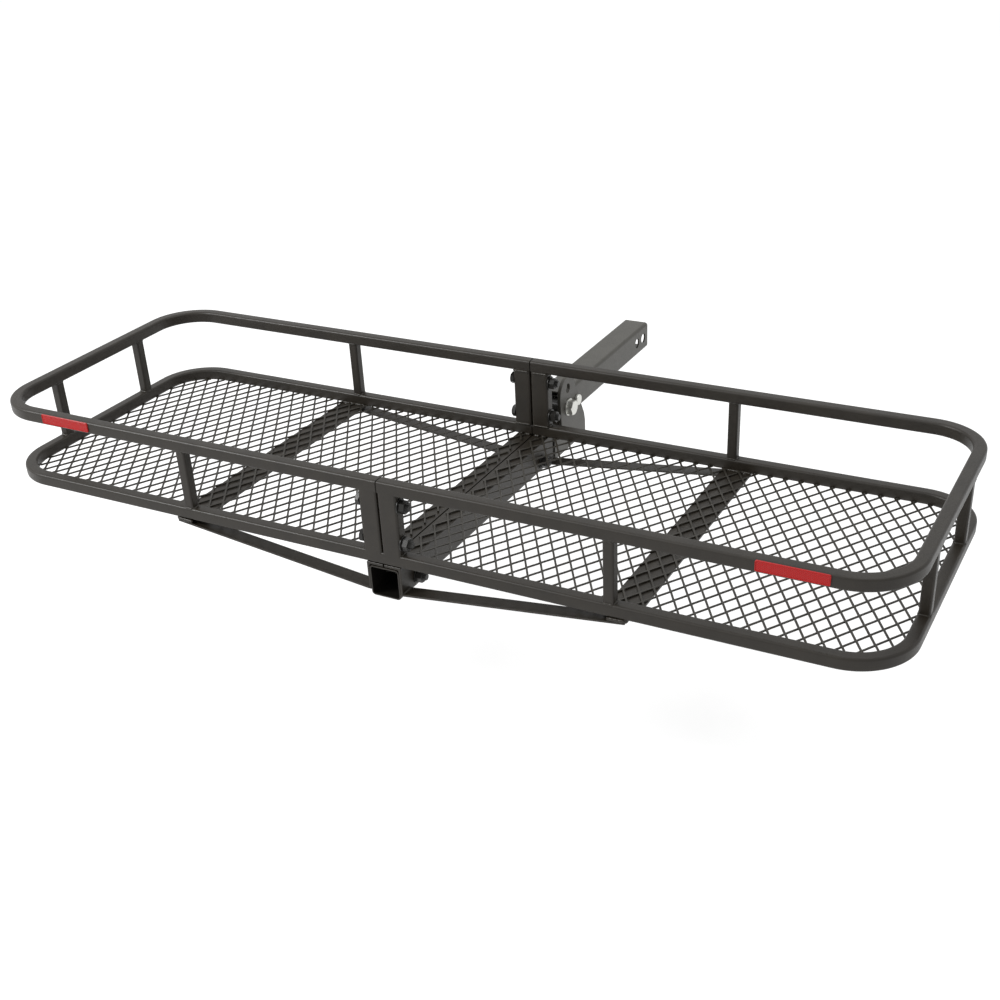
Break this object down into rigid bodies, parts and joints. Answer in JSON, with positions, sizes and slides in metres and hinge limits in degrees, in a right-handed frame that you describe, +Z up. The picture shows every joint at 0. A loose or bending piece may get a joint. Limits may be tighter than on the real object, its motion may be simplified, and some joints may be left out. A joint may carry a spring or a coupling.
{
  "type": "hitch cargo carrier",
  "caption": "Folding hitch-mounted cargo basket: two bolted half frames of square tube with expanded mesh floor, braces, support tube and a hinged square shank with lock pin.",
  "frame": {"origin": "centre of the shank's hitch pin hole nearer the basket, midway between the shank's side walls", "axes": "+X to the vehicle's right along the basket's length and along the hitch pin hole, +Y forward along the shank towards the vehicle, +Z up"},
  "size_m": [1.524, 0.946, 0.1933],
  "materials": {
    "frame_coat": "satin black powder coat",
    "mesh_coat": "satin black powder coat",
    "shank_coat": "satin dark grey powder coat",
    "black_hardware": "black plated steel",
    "zinc_plate": "bright zinc plate",
    "reflector_red": "gloss red reflector"
  },
  "bodies": {
    "shank": {"shank_tube": "shank_coat", "pivot_sleeve": "black_hardware"},
    "carrier": {"left_bottom_rail": "frame_coat", "left_centre_angle": "frame_coat", "left_cross_bar": "frame_coat", "left_front_brace": "frame_coat", "left_front_end_post": "frame_coat", "left_front_mid_post": "frame_coat", "left_front_seam_post": "frame_coat", "left_hinge_plate": "frame_coat", "left_mesh_floor": "mesh_coat", "left_rear_brace": "frame_coat", "left_rear_end_post": "frame_coat", "left_rear_mid_post": "frame_coat", "left_rear_seam_post": "frame_coat", "left_reflector": "reflector_red", "left_top_rail": "frame_coat", "pivot_bolt": "zinc_plate", "pivot_nut": "zinc_plate", "pivot_washers": "zinc_plate", "right_bottom_rail": "frame_coat", "right_centre_angle": "frame_coat", "right_cross_bar": "frame_coat", "right_front_brace": "frame_coat", "right_front_end_post": "frame_coat", "right_front_mid_post": "frame_coat", "right_front_seam_post": "frame_coat", "right_hinge_plate": "frame_coat", "right_mesh_floor": "mesh_coat", "right_rear_brace": "frame_coat", "right_rear_end_post": "frame_coat", "right_rear_mid_post": "frame_coat", "right_rear_seam_post": "frame_coat", "right_reflector": "reflector_red", "right_top_rail": "frame_coat", "seam_bolts": "black_hardware", "seam_nuts": "black_hardware", "seam_washers": "black_hardware", "support_tube": "frame_coat", "tube_bolts": "black_hardware", "tube_nuts": "black_hardware", "tube_washers": "black_hardware"},
    "lock_pin": {"lock_pin": "zinc_plate"},
    "clip": {"hairpin_clip": "zinc_plate"}
  },
  "joints": [
    {"name": "fold", "type": "hinge", "parent": "shank", "child": "carrier", "pos_m": [0, -0.324, 0], "axis": [-1, 0, 0], "range_deg": [0, 90]},
    {"name": "pin_pull", "type": "slide", "parent": "carrier", "child": "lock_pin", "axis": [1, 0, 0], "range_m": [0, 0.085]},
    {"name": "clip_pull", "type": "slide", "parent": "carrier", "child": "clip", "axis": [0, 0, 1], "range_m": [0, 0.06]}
  ]
}
